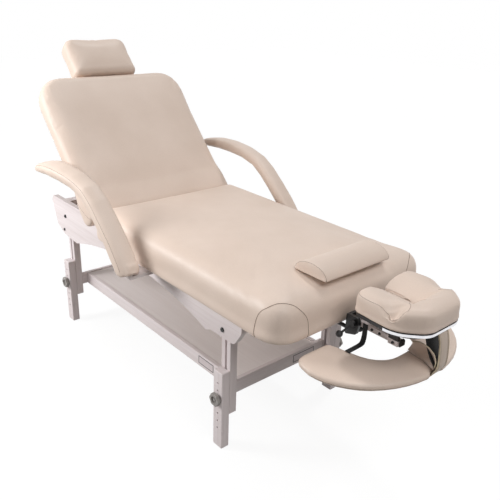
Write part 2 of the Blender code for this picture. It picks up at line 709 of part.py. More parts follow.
# Face cradle: pegged clevises, cam lever, bars, platform and cushion
mount_body = axis_empty("cradle_pull", (SEAT_FRONT, 0.0, PEG_Z), root)
tilt_body = axis_empty("cradle_tilt", (TILT_X, 0.0, TILT_Z), mount_body)
tilt_body.matrix_parent_inverse = mount_body.matrix_world.inverted()
bpy.context.view_layer.update()
cam_body = axis_empty("cam_turn", (TILT_X, 0.0, TILT_Z), mount_body)
cam_body.matrix_parent_inverse = mount_body.matrix_world.inverted()
bpy.context.view_layer.update()
BAR_HALF = 0.008
BAR_DEEP = 0.019
CHEEK_IN = BAR_HALF + 0.0006
CHEEK_OUT = 0.020
clevis_x = SEAT_FRONT + 0.0023
SHAFT = 0.004
for word, side in SIDES:
    centre = side * BAR_Y
    low_z = PEG_Z - 0.013
    outline = [
        (clevis_x, low_z, 0.004),
        (TILT_X + 0.010, low_z + 0.014, 0.012),
        (TILT_X + 0.018, TILT_Z, 0.016),
        (TILT_X + 0.012, TILT_Z + 0.022, 0.012),
        (clevis_x, TILT_Z + 0.022, 0.004),
    ]
    mesh = plate([rounded(outline)], 2 * CHEEK_OUT, (0, centre, 0))
    clevis = part("cradle_clevis_" + word, mesh, BLACK, mount_body)
    fuse(clevis, rods(((clevis_x + 0.0053, centre, PEG_Z), (0.120, centre, PEG_Z), 0.007), sides=18))
    throat_low = (clevis_x + 0.014, centre - CHEEK_IN, low_z - 0.01)
    throat_high = (TILT_X + 0.05, centre + CHEEK_IN, TILT_Z + 0.05)
    cut(clevis, boxes((throat_low, throat_high)))
    eye = ((TILT_X, centre - 0.03, TILT_Z), (TILT_X, centre + 0.03, TILT_Z), SHAFT + RUN)
    cut(clevis, rods(eye, sides=16))

    bar_front = TILT_X + 0.165
    half_deep = BAR_DEEP / 2
    outline = [
        (TILT_X - half_deep, TILT_Z - half_deep, half_deep * 0.98),
        (bar_front, TILT_Z - half_deep, 0.0),
        (bar_front, TILT_Z + half_deep, 0.0),
        (TILT_X - half_deep, TILT_Z + half_deep, half_deep * 0.98),
    ]
    mesh = plate([rounded(outline, 6)], 2 * BAR_HALF, (0, centre, 0))
    bar = part("cradle_bar_" + word, mesh, WOOD, tilt_body)
    spots = ((0.0, SHAFT + RUN), (0.062, 0.0035), (0.092, 0.0035), (0.150, SHAFT + RUN))
    runs = []
    for along, radius in spots:
        x = TILT_X + along
        runs.append(((x, centre - 0.02, TILT_Z), (x, centre + 0.02, TILT_Z), radius))
    cut(bar, rods(*runs, sides=16))
    cap_end = bar_front + 0.010
    outline = [
        (bar_front + GAP, TILT_Z - half_deep - 0.002, 0.002),
        (cap_end, TILT_Z - half_deep - 0.002, 0.006),
        (cap_end, TILT_Z + half_deep + 0.002, 0.006),
        (bar_front + GAP, TILT_Z + half_deep + 0.002, 0.002),
    ]
    mesh = plate([rounded(outline)], 2 * BAR_HALF + 0.004, (0, centre, 0))
    part("bar_cap_" + word, mesh, BLACK, tilt_body)

reach = BAR_Y + CHEEK_OUT + 0.002
shaft = rods(((TILT_X, -reach - 0.012, TILT_Z), (TILT_X, reach + 0.004, TILT_Z), SHAFT))
lever = part("cam_lever", shaft, STEEL, cam_body)
hub = ((TILT_X, -reach - 0.014, TILT_Z), (TILT_X, -reach, TILT_Z), 0.011)
fuse(lever, rods(hub))
tip = (TILT_X - 0.027, -reach - 0.036, TILT_Z - 0.038)
fuse(lever, rods(((TILT_X - 0.002, -reach - 0.008, TILT_Z - 0.003), tip, 0.004), sides=12))
fuse(lever, ball(tip, 0.012))


def cradle_outline(grow):
    """U-shaped outline, open towards the seat, grown outwards by the given amount."""
    rear = CRADLE_X - grow
    front = CRADLE_X + CRADLE_LENGTH + grow
    wide = CRADLE_HALF_WIDTH + grow
    heel = CRADLE_HALF_WIDTH * 0.93 + grow
    gap = CRADLE_GAP - grow
    throat = CRADLE_X + CRADLE_LENGTH * 0.57 - grow
    tip = 0.036 + grow * 0.95
    corners = [
        (rear, -heel, tip),
        (front - 0.075, -wide, 0.10 + grow),
        (front, -wide * 0.52, 0.070 + grow),
        (front, wide * 0.52, 0.070 + grow),
        (front - 0.075, wide, 0.10 + grow),
        (rear, heel, tip),
        (rear, gap, tip),
        (throat, gap, CRADLE_GAP * 0.9 - grow),
        (throat, -gap, CRADLE_GAP * 0.9 - grow),
        (rear, -gap, tip),
    ]
    return rounded(corners, 5)


def soft_slab(outline_of, low, high, under, over, steps):
    """A padded slab: its outline drawn in over a rounded bottom edge and a rounded top edge."""
    levels = []
    for step in range(steps + 1):
        angle = math.pi / 2 * step / steps
        levels.append((under * (1 - math.sin(angle)), low + under * (1 - math.cos(angle))))
    for step in range(steps + 1):
        angle = math.pi / 2 * step / steps
        levels.append((over * (1 - math.cos(angle)), high - over * (1 - math.sin(angle))))
    return loft([[(x, y, z) for x, y in outline_of(-inset)] for inset, z in levels])


mid_z = PLATFORM_Z + PLATFORM_THICK / 2
mesh = plate([cradle_outline(-0.006)], PLATFORM_THICK, (0, 0, mid_z), False)
platform = part("cradle_platform", mesh, BLACK, tilt_body)
for word, side in SIDES:
    near = BAR_Y + BAR_HALF + 0.0025
    low = (TILT_X + 0.132, near, TILT_Z - 0.009)
    high = (TILT_X + 0.168, near + 0.008, PLATFORM_Z + 0.004)
    fuse(platform, side_box(side, low, high))
    start = (TILT_X + 0.150, side * (near + 0.004), TILT_Z)
    end = (TILT_X + 0.150, side * (BAR_Y - BAR_HALF - 0.002), TILT_Z)
    fuse(platform, rods((start, end, SHAFT)))
# Bright band round the platform's front, over the four front corners of the outline
outer = cradle_outline(-0.003)
inner = cradle_outline(-0.0057)
first = len(outer) // 10
last = len(outer) * 5 // 10
rim_outline = outer[first:last] + inner[first:last][::-1]
part("platform_rim", plate([rim_outline], 0.009, (0, 0, mid_z), False), CHROME, tilt_body)
top = SEAT_TOP + 0.019
cushion_low = PLATFORM_Z + PLATFORM_THICK + GAP
lift_body = axis_empty("cradle_cushion_lift", (CRADLE_X, 0.0, cushion_low), tilt_body)
lift_body.matrix_parent_inverse = tilt_body.matrix_world.inverted()
bpy.context.view_layer.update()
mesh = soft_slab(cradle_outline, cushion_low, top, 0.008, 0.032, 5)
part("cradle_cushion", mesh, VINYL, lift_body)

# Arm sling: padded crescent on straps
sling_body = axis_empty("sling_drop", (SLING_X, 0.0, SLING_TOP), tilt_body)
sling_body.matrix_parent_inverse = tilt_body.matrix_world.inverted()
bpy.context.view_layer.update()
NOTCH = 0.100
NOTCH_FLARE = 0.045
NOTCH_END = SLING_X + 0.110


def sling_outline(grow):
    """Crescent with a flared throat towards the seat, grown outwards by the given amount."""
    rear = SLING_X - 0.078 - grow
    deep = SLING_DEPTH + grow
    wide = SLING_HALF_WIDTH + grow
    throat = NOTCH - grow
    throat_end = NOTCH_END - grow
    corners = [(rear, -wide * 0.95, 0.045 + grow)]
    for step in range(25):
        angle = -math.pi / 2 + math.pi * step / 24
        corners.append((SLING_X + deep * math.cos(angle), wide * math.sin(angle), 0.0))
    corners += [
        (rear, wide * 0.95, 0.045 + grow),
        (rear, throat + NOTCH_FLARE, 0.026 + grow),
        (throat_end, throat, NOTCH * 0.9 - grow),
        (throat_end, -throat, NOTCH * 0.9 - grow),
        (rear, -throat - NOTCH_FLARE, 0.026 + grow),
    ]
    return rounded(corners, 5)


SLING_LOW = SLING_TOP - SLING_THICK
SLING_SOFT = 0.0145
mesh = soft_slab(sling_outline, SLING_LOW, SLING_TOP, SLING_SOFT, SLING_SOFT, 4)
part("sling_pad", mesh, VINYL, sling_body)
STRAP = 0.002
for word, side in SIDES:
    face = BAR_Y + BAR_HALF + GAP + STRAP / 2
    path = (
        (face, TILT_Z + 0.009),
        (face, SLING_TOP + 0.034),
        (face + 0.006, SLING_TOP + 0.010),
        (face + 0.018, SLING_TOP + 0.003),
        (NOTCH + 0.046, SLING_TOP + 0.0012),
    )
    path = [(side * y, z) for y, z in path]
    turned = plate([strip(path, STRAP)], 0.020, (0, 0, 0))
    turned.transform(Matrix.Rotation(math.pi / 2, 4, "Z"))
    turned.transform(Matrix.Translation((TILT_X + 0.036, 0, 0)))
    part("sling_strap_" + word, turned, WEBBING, sling_body)
# Loop from under the platform's front, round the front edge of the pad
LOOP = 0.003
platform_front = CRADLE_X + CRADLE_LENGTH - 0.006
front_in = SLING_X + SLING_DEPTH
loop = [
    (platform_front - 0.004, PLATFORM_Z - 0.0014),
    ((platform_front + front_in) / 2 + 0.007, PLATFORM_Z - 0.030),
    (front_in + 0.008, SLING_TOP + 0.012),
]
wrap = SLING_SOFT + LOOP / 2 + GAP
for step in range(6):
    angle = -math.pi / 2 * step / 5
    place = (front_in - SLING_SOFT + wrap * math.cos(angle), SLING_LOW + SLING_SOFT + wrap * math.sin(angle))
    loop.append(place)
loop.append((front_in - 0.060, SLING_LOW - LOOP / 2 - GAP))
part("sling_front_loop", plate([strip(loop, LOOP)], 0.054, (0, 0, 0)), VINYL, sling_body)

# Loose half-round bolster on the seat
BOLSTER_DEEP = 0.148
BOLSTER_HIGH = 0.047
BOLSTER_LONG = 0.326
BOLSTER_BASE = SEAT_TOP - 0.0037
bolster_x = SEAT_FRONT - 0.106
bolster_y = 0.0115
bolster_body = axis_empty("bolster_lift", (bolster_x, bolster_y, SEAT_TOP), root)
half_round = []
for step in range(17):
    angle = math.pi * step / 16
    x = bolster_x + BOLSTER_DEEP / 2 * math.cos(angle)
    half_round.append((x, BOLSTER_BASE + 0.0065 + (BOLSTER_HIGH - 0.006) * math.sin(angle), 0.0))
half_round += [
    (bolster_x - BOLSTER_DEEP / 2, BOLSTER_BASE + GAP, 0.005),
    (bolster_x + BOLSTER_DEEP / 2, BOLSTER_BASE + GAP, 0.005),
]
mesh = plate([rounded(half_round, 3)], BOLSTER_LONG, (0, bolster_y, 0), soft=0.005, soft_steps=2)
part("bolster", mesh, VINYL, bolster_body)


# Put the origin at the middle of the footprint, on the floor
def centre_on_floor():
    bpy.context.view_layer.update()
    graph = bpy.context.evaluated_depsgraph_get()
    low = Vector((1e9, 1e9, 1e9))
    high = -low
    for item in PARTS.objects:
        if item.type != "MESH":
            continue
        shown = item.evaluated_get(graph)
        for corner in shown.data.vertices:
            point = shown.matrix_world @ corner.co
            low = Vector(map(min, low, point))
            high = Vector(map(max, high, point))
    root.location = (-(low.x + high.x) / 2, -(low.y + high.y) / 2, -low.z)
    bpy.context.view_layer.update()
    print("origin shift", tuple(root.location), "size", tuple(high - low))


centre_on_floor()
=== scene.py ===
"""Looks for the massage table: padded vinyl, whitewashed wood, fittings, studio light and camera."""

import json
import math

import bmesh
import bpy
import numpy as np
from mathutils import Matrix, Vector, noise
from mathutils.bvhtree import BVHTree

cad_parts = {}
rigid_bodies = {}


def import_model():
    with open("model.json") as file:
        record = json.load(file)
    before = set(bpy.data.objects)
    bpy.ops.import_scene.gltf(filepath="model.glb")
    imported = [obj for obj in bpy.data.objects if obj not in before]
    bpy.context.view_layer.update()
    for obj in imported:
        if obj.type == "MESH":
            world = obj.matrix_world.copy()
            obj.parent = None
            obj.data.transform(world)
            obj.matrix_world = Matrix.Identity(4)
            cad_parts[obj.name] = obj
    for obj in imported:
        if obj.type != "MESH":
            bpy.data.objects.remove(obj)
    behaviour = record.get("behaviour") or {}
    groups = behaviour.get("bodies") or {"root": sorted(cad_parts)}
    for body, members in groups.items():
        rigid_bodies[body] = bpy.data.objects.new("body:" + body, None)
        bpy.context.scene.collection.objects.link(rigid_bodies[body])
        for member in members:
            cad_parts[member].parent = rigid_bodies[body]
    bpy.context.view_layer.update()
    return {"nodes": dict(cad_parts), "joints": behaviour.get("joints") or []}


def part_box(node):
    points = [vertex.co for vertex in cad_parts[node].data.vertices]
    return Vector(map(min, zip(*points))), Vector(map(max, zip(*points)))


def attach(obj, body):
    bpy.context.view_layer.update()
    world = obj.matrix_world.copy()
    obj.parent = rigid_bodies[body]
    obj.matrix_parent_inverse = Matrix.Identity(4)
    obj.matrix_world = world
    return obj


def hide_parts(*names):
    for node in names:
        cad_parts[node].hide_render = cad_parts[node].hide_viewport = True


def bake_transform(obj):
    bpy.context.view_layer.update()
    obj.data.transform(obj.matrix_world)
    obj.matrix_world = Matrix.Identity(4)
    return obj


for item in list(bpy.data.objects):
    bpy.data.objects.remove(item)
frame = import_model()
NODES = frame["nodes"]
JOINTS = {joint["name"]: joint for joint in frame["joints"]}
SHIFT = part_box("leg_post_front_left")[1].x
SIDES = (("left", -1), ("right", 1))
BACK_ANGLE = math.radians(48)


def at(x, y, z):
    """A point of the table's own layout, where X starts at the front of the front legs."""
    return Vector((x + SHIFT, y, z))


# Materials
def begin(name, rough=0.5, metal=0.0):
    made = bpy.data.materials.new(name)
    made.use_nodes = True
    tree = made.node_tree
    shader = tree.nodes["Principled BSDF"]
    shader.inputs["Roughness"].default_value = rough
    shader.inputs["Metallic"].default_value = metal
    place = tree.nodes.new("ShaderNodeTexCoord").outputs["Object"]
    return made, tree, shader, place


def texture(tree, kind, vector, **settings):
    node = tree.nodes.new(kind)
    for key, value in settings.items():
        node.inputs[key].default_value = value
    tree.links.new(vector, node.inputs["Vector"])
    return node


def stretch(tree, vector, scale):
    node = tree.nodes.new("ShaderNodeMapping")
    node.inputs["Scale"].default_value = scale
    tree.links.new(vector, node.inputs["Vector"])
    return node.outputs["Vector"]


def ramp(tree, value, *stops):
    node = tree.nodes.new("ShaderNodeValToRGB")
    while len(node.color_ramp.elements) < len(stops):
        node.color_ramp.elements.new(0.5)
    for element, (position, colour) in zip(node.color_ramp.elements, stops):
        element.position = position
        element.color = (*colour, 1.0)
    tree.links.new(value, node.inputs["Fac"])
    return node.outputs["Color"]


def blend(tree, first, second, factor, mode="MULTIPLY"):
    node = tree.nodes.new("ShaderNodeMix")
    node.data_type = "RGBA"
    node.blend_type = mode
    node.inputs["Factor"].default_value = factor
    tree.links.new(first, node.inputs["A"])
    tree.links.new(second, node.inputs["B"])
    return node.outputs["Result"]


def spread(tree, value, low, high):
    node = tree.nodes.new("ShaderNodeMapRange")
    node.inputs["To Min"].default_value = low
    node.inputs["To Max"].default_value = high
    tree.links.new(value, node.inputs["Value"])
    return node.outputs["Result"]


def bump(tree, shader, height, strength, distance, under=None):
    node = tree.nodes.new("ShaderNodeBump")
    node.inputs["Strength"].default_value = strength
    node.inputs["Distance"].default_value = distance
    tree.links.new(height, node.inputs["Height"])
    if under is not None:
        tree.links.new(under, node.inputs["Normal"])
    tree.links.new(node.outputs["Normal"], shader.inputs["Normal"])
    return node.outputs["Normal"]


def vinyl(name, low, high):
    """Soft upholstery vinyl: cloudy cream, a fine pebble grain and a low satin gloss."""
    made, tree, shader, place = begin(name, 0.45)
    shader.inputs["Specular IOR Level"].default_value = 0.38
    cloud = texture(tree, "ShaderNodeTexNoise", place, Scale=5.0, Detail=3.0)
    mottle = texture(tree, "ShaderNodeTexNoise", place, Scale=240.0, Detail=2.0)
    tone = ramp(tree, cloud.outputs["Fac"], (0.30, low), (0.70, high))
    speck = ramp(tree, mottle.outputs["Fac"], (0.25, (0.93, 0.93, 0.93)), (0.75, (1.0, 1.0, 1.0)))
    tree.links.new(blend(tree, tone, speck, 0.6), shader.inputs["Base Color"])
    gloss = texture(tree, "ShaderNodeTexNoise", place, Scale=35.0, Detail=3.0)
    tree.links.new(spread(tree, gloss.outputs["Fac"], 0.40, 0.54), shader.inputs["Roughness"])
    pebble = texture(tree, "ShaderNodeTexVoronoi", place, Scale=620.0)
    crease = texture(tree, "ShaderNodeTexNoise", place, Scale=95.0, Detail=4.0)
    first = bump(tree, shader, pebble.outputs["Distance"], 0.16, 0.0005)
    bump(tree, shader, crease.outputs["Fac"], 0.10, 0.0012, first)
    return made


def wood(name, axis, low, high, pore, rough=0.5):
    """Wood with its grain along one axis."""
    made, tree, shader, place = begin(name, rough)
    figure = [26.0, 26.0, 26.0]
    figure[axis] = 1.3
    fibre = [420.0, 420.0, 420.0]
    fibre[axis] = 7.0
    across_grain = stretch(tree, place, figure)
    broad = texture(tree, "ShaderNodeTexNoise", across_grain, Scale=1.0, Detail=5.0, Distortion=0.7)
    fine = texture(tree, "ShaderNodeTexNoise", stretch(tree, place, fibre), Scale=1.0, Detail=2.0)
    tone = ramp(tree, broad.outputs["Fac"], (0.32, low), (0.62, high))
    lines = ramp(tree, fine.outputs["Fac"], (0.33, pore), (0.50, (1.0, 1.0, 1.0)))
    tree.links.new(blend(tree, tone, lines, 0.6), shader.inputs["Base Color"])
    gloss = spread(tree, broad.outputs["Fac"], rough - 0.08, rough + 0.10)
    tree.links.new(gloss, shader.inputs["Roughness"])
    bump(tree, shader, fine.outputs["Fac"], 0.12, 0.0006)
    return made


def moulded(name, low, high, rough, metal=0.0, grain=900.0, depth=0.0003):
    """Moulded, painted or plated fittings with a fine surface texture."""
    made, tree, shader, place = begin(name, rough, metal)
    cloud = texture(tree, "ShaderNodeTexNoise", place, Scale=40.0, Detail=4.0)
    fine = texture(tree, "ShaderNodeTexNoise", place, Scale=grain, Detail=2.0)
    tone = ramp(tree, cloud.outputs["Fac"], (0.3, low), (0.7, high))
    gloss = spread(tree, cloud.outputs["Fac"], rough * 0.8, rough * 1.25)
    tree.links.new(tone, shader.inputs["Base Color"])
    tree.links.new(gloss, shader.inputs["Roughness"])
    bump(tree, shader, fine.outputs["Fac"], 0.12, depth)
    return made


def two_tone(name, level, below, above, rough):
    """Painted part with one finish under the given height and another over it."""
    made, tree, shader, place = begin(name, rough)
    cloud = texture(tree, "ShaderNodeTexNoise", place, Scale=40.0, Detail=4.0)
    fine = texture(tree, "ShaderNodeTexNoise", place, Scale=900.0, Detail=2.0)
    split = tree.nodes.new("ShaderNodeSeparateXYZ")
    tree.links.new(place, split.inputs["Vector"])
    under = tree.nodes.new("ShaderNodeMath")
    under.operation = "LESS_THAN"
    under.inputs[1].default_value = level
    tree.links.new(split.outputs["Z"], under.inputs[0])
    mix = tree.nodes.new("ShaderNodeMix")
    mix.data_type = "RGBA"
    tree.links.new(under.outputs["Value"], mix.inputs["Factor"])
    tree.links.new(ramp(tree, cloud.outputs["Fac"], (0.3, above[0]), (0.7, above[1])), mix.inputs["A"])
    tree.links.new(ramp(tree, cloud.outputs["Fac"], (0.3, below[0]), (0.7, below[1])), mix.inputs["B"])
    tree.links.new(mix.outputs["Result"], shader.inputs["Base Color"])
    bump(tree, shader, fine.outputs["Fac"], 0.12, 0.0003)
    return made


def woven(name, low, high, pitch):
    """Woven webbing: crossed threads of the given pitch."""
    made, tree, shader, place = begin(name, 0.8)
    waves = []
    for axis in ("X", "Y", "Z"):
        node = texture(tree, "ShaderNodeTexWave", place, Scale=0.32 / pitch, Distortion=0.6)
        node.bands_direction = axis
        waves.append(node.outputs["Fac"])
    height = tree.nodes.new("ShaderNodeMath")
    height.operation = "MULTIPLY"
    tree.links.new(waves[0], height.inputs[0])
    tree.links.new(waves[2], height.inputs[1])
    tone = ramp(tree, height.outputs["Value"], (0.1, low), (0.8, high))
    tree.links.new(tone, shader.inputs["Base Color"])
    bump(tree, shader, height.outputs["Value"], 0.5, 0.0006)
    return made


VINYL = vinyl("cream_vinyl", (0.705, 0.572, 0.485), (0.755, 0.622, 0.535))
STRAP_VINYL = vinyl("strap_vinyl", (0.560, 0.460, 0.385), (0.610, 0.510, 0.430))
SEAM = moulded("seam_thread", (0.16, 0.105, 0.075), (0.24, 0.165, 0.12), 0.8, grain=1500.0)
BINDING = moulded("edge_binding", (0.62, 0.52, 0.36), (0.70, 0.60, 0.44), 0.6)
PALE = ((0.730, 0.655, 0.655), (0.810, 0.740, 0.745), (0.91, 0.88, 0.87))
WOOD = [wood("whitewashed_wood_" + word, axis, *PALE) for axis, word in enumerate("xyz")]
# Shelf panel wood: its own paler, faintly grained face, made lighter still as painted light for the
# shelf under the seat, where the lamps reach it only weakly.
PANEL_WITH_PAINTED_LIGHT = wood("pale_panel_painted_light", 0, (0.850, 0.785, 0.775), (0.890, 0.830, 0.820), (0.95, 0.93, 0.92))
PLY = wood("plywood_sheet", 0, (0.52, 0.37, 0.22), (0.64, 0.48, 0.31), (0.80, 0.72, 0.62), 0.6)
PAINTED_STEEL = moulded("painted_steel", (0.60, 0.54, 0.53), (0.68, 0.62, 0.61), 0.5)
STEEL = moulded("plated_steel", (0.42, 0.42, 0.43), (0.58, 0.58, 0.59), 0.34, 1.0)
CHROME = moulded("bright_chrome", (0.74, 0.74, 0.78), (0.86, 0.86, 0.88), 0.10, 1.0, 60.0, 0.0001)
JET = ((0.007, 0.007, 0.008), (0.016, 0.015, 0.016))
BLACK = moulded("black_moulding", *JET, 0.42)
BAR_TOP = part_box("cradle_bar_left")[1].z
HANGER = two_tone("platform_and_hangers", BAR_TOP, PALE[:2], JET, 0.42)
BOLT = moulded("blackened_bolt", (0.010, 0.010, 0.011), (0.022, 0.021, 0.021), 0.38)
KNOB = moulded("grey_knob", (0.24, 0.22, 0.21), (0.34, 0.32, 0.30), 0.42)
WEBBING = woven("black_webbing", (0.006, 0.006, 0.006), (0.028, 0.027, 0.027), 0.0014)
PLATE = moulded("bare_plate", (0.66, 0.58, 0.59), (0.72, 0.64, 0.65), 0.45)
INK = moulded("plate_border", (0.045, 0.038, 0.04), (0.075, 0.065, 0.068), 0.6)


def dress(look, *names):
    for name in names:
        mesh = NODES[name].data
        mesh.materials.clear()
        mesh.materials.append(look)


def both(*names):
    return [name + word for name in names for word in ("_left", "_right")]


dress(WOOD[0], *both("side_rail", "shelf_rail", "prop_rack", "cradle_bar"))
dress(PANEL_WITH_PAINTED_LIGHT, "shelf_panel")
dress(WOOD[1], "shelf_end_rail_front", "shelf_end_rail_rear", "front_beam", "tail_beam", "cradle_socket")
for end in ("front", "rear"):
    dress(WOOD[2], *both("leg_post_" + end, "leg_extension_" + end))
    dress(KNOB, *both("clamp_knob_" + end))
dress(PLY, "seat_deck", "back_deck")
dress(STEEL, *both("back_hinge_leaf", "frame_hinge_leaf", "prop_bracket", "headrest_rod"), "back_prop")
dress(PAINTED_STEEL, *both("arm_bracket"))
dress(BLACK, *both("cradle_clevis", "bar_cap"), "cam_lever")
dress(HANGER, "cradle_platform")
dress(CHROME, "platform_rim")


# Mesh helpers
def add_object(name, mesh, look):
    item = bpy.data.objects.new(name, mesh)
    bpy.context.scene.collection.objects.link(item)
    mesh.materials.clear()
    mesh.materials.append(look)
    mesh.shade_smooth()
    return item


def from_form(name, form, look):
    mesh = bpy.data.meshes.new(name)
    form.to_mesh(mesh)
    form.free()
    return add_object(name, mesh, look)


def join_rows(form, rows, around=True):
    """Faces between neighbouring rows of points; around closes each row on itself."""
    count = len(rows[0])
    for near, far in zip(rows, rows[1:]):
        for index in range(count if around else count - 1):
            follow = (index + 1) % count
            form.faces.new((near[index], near[follow], far[follow], far[index]))


def settle(item):
    """Makes the modifiers' result the item's own mesh."""
    graph = bpy.context.evaluated_depsgraph_get()
    mesh = bpy.data.meshes.new_from_object(item.evaluated_get(graph))
    old = item.data
    item.modifiers.clear()
    item.data = mesh
    bpy.data.meshes.remove(old)


def points_of(mesh):
    flat = np.empty(len(mesh.vertices) * 3)
    mesh.vertices.foreach_get("co", flat)
    return flat.reshape(-1, 3)


def normals_of(mesh):
    flat = np.empty(len(mesh.vertices) * 3)
    mesh.vertex_normals.foreach_get("vector", flat)
    return flat.reshape(-1, 3)


def set_points(mesh, points):
    mesh.vertices.foreach_set("co", np.ascontiguousarray(points).ravel())
    mesh.update()


def ease(low, high, values):
    part_way = np.clip((values - low) / (high - low), 0.0, 1.0)
    return part_way * part_way * (3 - 2 * part_way)


def outside_box(points, low, high, grow):
    """0 inside the grown box, 1 from 12 mm outside it."""
    low = np.array(low) - grow
    high = np.array(high) + grow
    away = np.maximum(np.maximum(low - points, points - high), 0.0)
    return ease(0.0, 0.012, np.linalg.norm(away, axis=1))


CLOTH_STEPS = 20
PRESSURE = 4.0
UNEVEN = 0.0006


def inflate(item, hold):
    """Cloth under pressure, with the held points pinned."""
    pins = item.vertex_groups.new(name="held")
    for index in np.nonzero(hold > 0.01)[0]:
        pins.add([int(index)], float(hold[index]), "REPLACE")
    cloth = item.modifiers.new("fill", "CLOTH")
    cloth.settings.quality = 3
    cloth.settings.mass = 0.3
    cloth.settings.tension_stiffness = 30.0
    cloth.settings.compression_stiffness = 30.0
    cloth.settings.shear_stiffness = 12.0
    cloth.settings.bending_stiffness = 2.0
    cloth.settings.use_pressure = True
    cloth.settings.uniform_pressure_force = PRESSURE
    cloth.settings.effector_weights.gravity = 0.0
    cloth.settings.vertex_group_mass = "held"
    cloth.collision_settings.use_collision = False
    cloth.point_cache.frame_start = 1
    cloth.point_cache.frame_end = CLOTH_STEPS
    for number in range(1, CLOTH_STEPS + 1):
        bpy.context.scene.frame_set(number)
    settle(item)
    bpy.context.scene.frame_set(1)
    item.vertex_groups.clear()


def cushion(name, node, body, voxel, cap, free, shape=None, smooth=12, sink=0.75):
    """A padded vinyl form: the node's solid, remeshed, sunk a little and filled under pressure.

    No point moves more than cap. free gives each point's freedom, from 0, held, to 1.
    shape moves the remeshed points before they are filled, and sink is a share of cap.
    """
    mesh = NODES[node].data.copy()
    item = add_object(name, mesh, VINYL)
    form = bmesh.new()
    form.from_mesh(mesh)
    bmesh.ops.remove_doubles(form, verts=form.verts, dist=1e-5)
    form.to_mesh(mesh)
    form.free()
    grid = item.modifiers.new("grid", "REMESH")
    grid.mode = "VOXEL"
    grid.voxel_size = voxel
    ease_out = item.modifiers.new("ease", "SMOOTH")
    ease_out.factor = 0.5
    ease_out.iterations = smooth
    settle(item)
    mesh = item.data
    home = points_of(mesh)
    if shape is not None:
        home = shape(home)
        set_points(mesh, home)
    loose = free(home)
    inward = normals_of(mesh) * (cap * sink * loose)[:, None]
    set_points(mesh, home - inward)
    inflate(item, 1.0 - loose)
    mesh = item.data
    moved = points_of(mesh) - (home - inward)
    far = np.linalg.norm(moved, axis=1)
    top = max(np.percentile(far, 97), 1e-6)
    moved *= (cap / np.maximum(far, max(top, cap)))[:, None]
    home = home - inward + moved * loose[:, None]
    set_points(mesh, home)
    uneven = np.array([noise.noise(Vector(point) * 14.0) for point in home])
    set_points(mesh, home + normals_of(mesh) * (uneven * UNEVEN * loose)[:, None])
    fine = item.modifiers.new("fine", "SUBSURF")
    fine.levels = 1
    fine.render_levels = 1
    settle(item)
    item.data.materials.clear()
    item.data.materials.append(VINYL)
    item.data.shade_smooth()
    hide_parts(node)
    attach(item, body)
    return item


def skin(item):
    mesh = item.data
    faces = [tuple(face.vertices) for face in mesh.polygons]
    return BVHTree.FromPolygons([vertex.co for vertex in mesh.vertices], faces)


def resample(points, step):
    """Points about a step apart on a smooth curve through the given ones."""
    points = [Vector(point) for point in points]
    made = []
    for index in range(len(points) - 1):
        before = points[index - 1] if index else points[0]
        near = points[index]
        far = points[index + 1]
        after = points[index + 2] if index + 2 < len(points) else points[-1]
        count = max(1, round((far - near).length / step))
        for number in range(count):
            t = number / count
            made.append(
                0.5
                * (
                    2 * near
                    + (far - before) * t
                    + (2 * before - 5 * near + 4 * far - after) * t * t
                    + (3 * near - before - 3 * far + after) * t * t * t
                )
            )
    made.append(points[-1])
    return made


def sweep(name, path, normals, profile, look):
    """A band along a path; profile gives (across, out) round its section."""
    form = bmesh.new()
    rows = []
    last = len(path) - 1
    for index, point in enumerate(path):
        along = (path[min(index + 1, last)] - path[max(index - 1, 0)]).normalized()
        out = normals[index]
        out = (out - along * out.dot(along)).normalized()
        across = along.cross(out)
        rows.append([form.verts.new(point + across * u + out * v) for u, v in profile])
    join_rows(form, rows)
    form.faces.new(rows[0][::-1])
    form.faces.new(rows[-1])
    bmesh.ops.recalc_face_normals(form, faces=form.faces)
    return from_form(name, form, look)


SEAM_STEP = 0.005
LIPS = [
    (-0.0042, -0.0012), (-0.0030, 0.0002), (-0.0016, 0.0006), (-0.0007, -0.0001),
    (0.0007, -0.0001), (0.0016, 0.0006), (0.0030, 0.0002), (0.0042, -0.0012), (0.0, -0.0025),
]
SIXTHS = [math.pi * number / 3 for number in range(6)]
THREAD = [(0.0009 * math.cos(turn), 0.0003 + 0.0008 * math.sin(turn)) for turn in SIXTHS]


def seam(name, item, points, body, size=1.0):
    """A sewn seam laid on a padded form: two turned lips and a sunk thread between them."""
    tree = skin(item)
    path = []
    normals = []
    for point in resample(points, SEAM_STEP):
        place, normal, _, _ = tree.find_nearest(point)
        path.append(place)
        normals.append(normal)
    last = len(path) - 1
    eased = []
    for index in range(len(path)):
        total = Vector()
        for shift in range(-3, 4):
            total += normals[min(max(index + shift, 0), last)]
        eased.append(total.normalized())
    for tag, profile, look in (("", LIPS, VINYL), ("_thread", THREAD, SEAM)):
        section = [(u * size, v * size) for u, v in profile]
        piece = sweep(name + tag, path, eased, section, look)
        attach(piece, body)


def rounded_bar(width, thick, edge=0.5):
    """Section of a flat strap with softened edges, as (across, out) pairs."""
    half = width / 2
    soft = thick * edge
    return [
        (-half, 0.0), (-half + soft, -thick / 2), (half - soft, -thick / 2),
        (half, 0.0), (half - soft, thick / 2), (-half + soft, thick / 2),
    ]


# Seat
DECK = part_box("seat_deck")
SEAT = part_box("seat_cushion")


def seat_free(points):
    below = (DECK[0] - Vector((0.1, 0.0, 0.2)), DECK[1])
    loose = outside_box(points, *below, 0.006)
    loose *= ease(SEAT[0].z + 0.004, SEAT[0].z + 0.05, points[:, 2])
    return loose * ease(SEAT[0].x + 0.004, SEAT[0].x + 0.06, points[:, 0])


